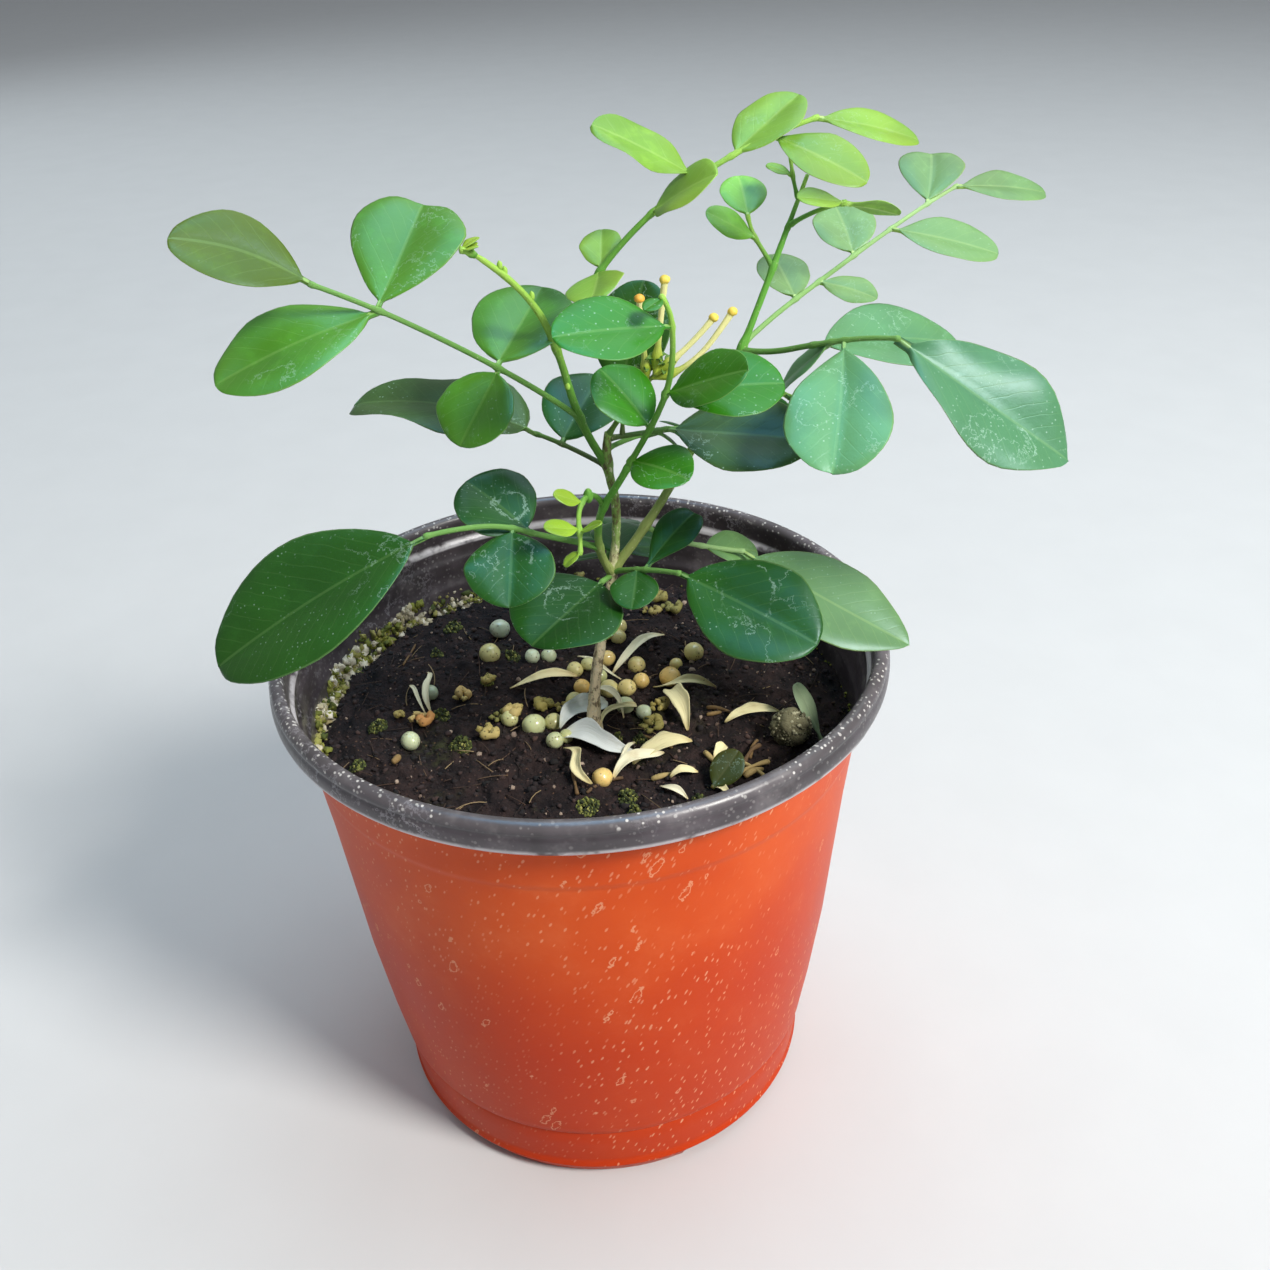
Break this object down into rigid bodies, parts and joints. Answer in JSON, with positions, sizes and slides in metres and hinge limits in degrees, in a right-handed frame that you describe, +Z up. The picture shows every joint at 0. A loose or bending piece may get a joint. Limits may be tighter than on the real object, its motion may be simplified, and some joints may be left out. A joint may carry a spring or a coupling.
{
  "type": "potted orange jasmine",
  "caption": "Young orange jasmine shrub with slender branching stems and sprays of glossy leaflets, growing in soil in a tapered round nursery pot with a rolled rim.",
  "frame": {"origin": "centre of the pot's flat underside, at ground level", "axes": "+Z up from the ground, -Y towards the side shown in the picture, +X to that viewer's right"},
  "size_m": [0.1318, 0.105, 0.1789],
  "materials": {
    "pot_plastic": "satin moulded plastic, terracotta outside, charcoal rim and inside, dusty",
    "soil": "rough moist potting mix",
    "bark": "fine rough grey-tan bark",
    "green_bark": "smooth green young bark",
    "leaf_blue_green": "glossy leaf with a blue sheen",
    "leaf_dark": "glossy dark green leaf",
    "leaf_green": "glossy mid green leaf",
    "leaf_lime": "satin young lime leaf",
    "flower_yellow": "matt spent flower parts"
  },
  "bodies": {
    "root": {"pot": "pot_plastic", "soil": "soil", "trunk": "bark", "left_shoot": "green_bark", "right_shoot": "green_bark", "front_shoot": "green_bark", "leaves_left": "leaf_blue_green", "leaves_back_left": "leaf_dark", "bud_left": "leaf_lime", "leaves_upper": "leaf_lime", "leaves_upper_back": "leaf_green", "leaves_top": "leaf_lime", "leaves_right": "leaf_green", "leaves_dark_right": "leaf_blue_green", "leaves_front": "leaf_green", "leaves_young": "leaf_lime", "leaves_low_left": "leaf_dark", "leaves_low_right": "leaf_dark", "leaves_low_back_right": "leaf_green", "leaf_low_front": "leaf_dark", "leaf_low_back": "leaf_dark", "leaves_middle_back": "leaf_dark", "flower_remains": "flower_yellow", "leaves_back_low": "leaf_dark", "leaves_back_middle": "leaf_dark", "leaves_back_right": "leaf_green"}
  },
  "joints": []
}
